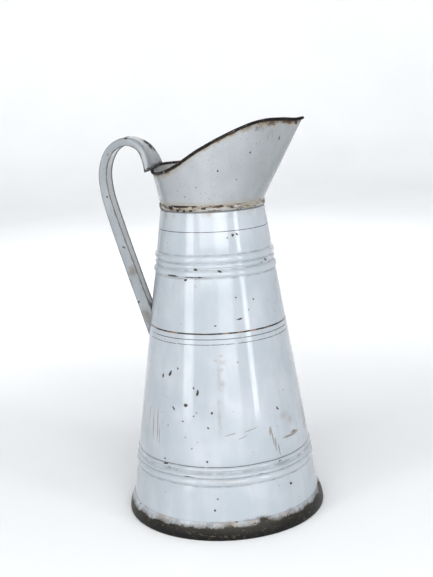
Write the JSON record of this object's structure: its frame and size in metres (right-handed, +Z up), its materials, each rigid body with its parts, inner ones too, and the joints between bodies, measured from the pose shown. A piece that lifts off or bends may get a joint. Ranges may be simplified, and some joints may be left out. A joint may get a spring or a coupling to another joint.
{
  "type": "water jug",
  "caption": "Tall tapered enamelled sheet-steel water jug with beaded body, flared oblique pouring collar, rolled lip, folded foot and hollow crook handle.",
  "frame": {"origin": "centre of the foot's standing plane, on the axis of the conical body", "axes": "+Z up along the body's axis, +X the pouring direction through the spout, handle at -X; symmetric about the XZ plane"},
  "size_m": [0.2143, 0.2052, 0.401],
  "materials": {
    "body_enamel": "glossy aged vitreous enamel on sheet steel",
    "collar_enamel": "glossy aged vitreous enamel on sheet steel",
    "handle_enamel": "glossy aged vitreous enamel on sheet steel",
    "neck_band": "worn enamel with rust",
    "foot_enamel": "worn black enamel",
    "rim_steel": "plain steel wire"
  },
  "bodies": {
    "root": {"body_wall": "body_enamel", "base_pan": "foot_enamel", "neck_ring": "neck_band", "spout_collar": "collar_enamel", "rim_wire": "rim_steel", "handle_channel": "handle_enamel", "handle_strip": "handle_enamel"}
  },
  "joints": []
}
